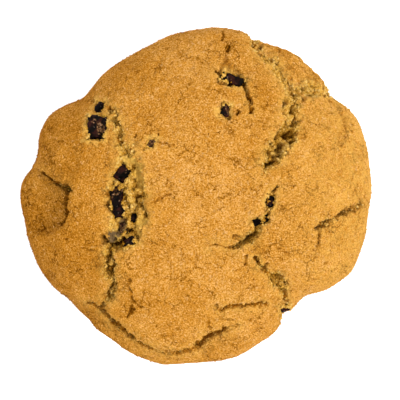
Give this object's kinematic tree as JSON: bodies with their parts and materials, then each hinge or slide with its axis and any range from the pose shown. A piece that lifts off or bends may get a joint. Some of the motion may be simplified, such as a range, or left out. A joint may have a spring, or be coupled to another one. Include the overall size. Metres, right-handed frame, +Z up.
{
  "type": "muffin",
  "caption": "Round chocolate-chunk muffin with a broad cracked crown over a tapered, tin-baked base that stands on its flat underside.",
  "frame": {"origin": "centre of the muffin's outline on the flat underside, where it stands", "axes": "+Z up through the crown, +X towards the brighter, rounder side of the crown, +Y towards its broken upper shelf"},
  "size_m": [0.0871, 0.0843, 0.06],
  "materials": {
    "crust_and_crumb": "matte golden crust with fine grains, paler crumb in the cracks, browner wall",
    "dark_chocolate": "satin dark chocolate, dusted with crumb"
  },
  "bodies": {
    "root": {"chunk_left_shoulder": "dark_chocolate", "chunk_left_shoulder_chip": "dark_chocolate", "chunk_lower_right_rim": "dark_chocolate", "chunk_right_split": "dark_chocolate", "chunk_right_split_lower": "dark_chocolate", "chunk_side_back": "dark_chocolate", "chunk_side_front": "dark_chocolate", "chunk_side_left": "dark_chocolate", "chunk_side_rear_left": "dark_chocolate", "chunk_side_right": "dark_chocolate", "chunk_split_edge": "dark_chocolate", "chunk_split_foot": "dark_chocolate", "chunk_split_lower": "dark_chocolate", "chunk_split_middle": "dark_chocolate", "chunk_split_top": "dark_chocolate", "chunk_upper_flap": "dark_chocolate", "chunk_upper_hole": "dark_chocolate", "chunk_upper_left_chip": "dark_chocolate", "muffin_cake": "crust_and_crumb"}
  },
  "joints": []
}
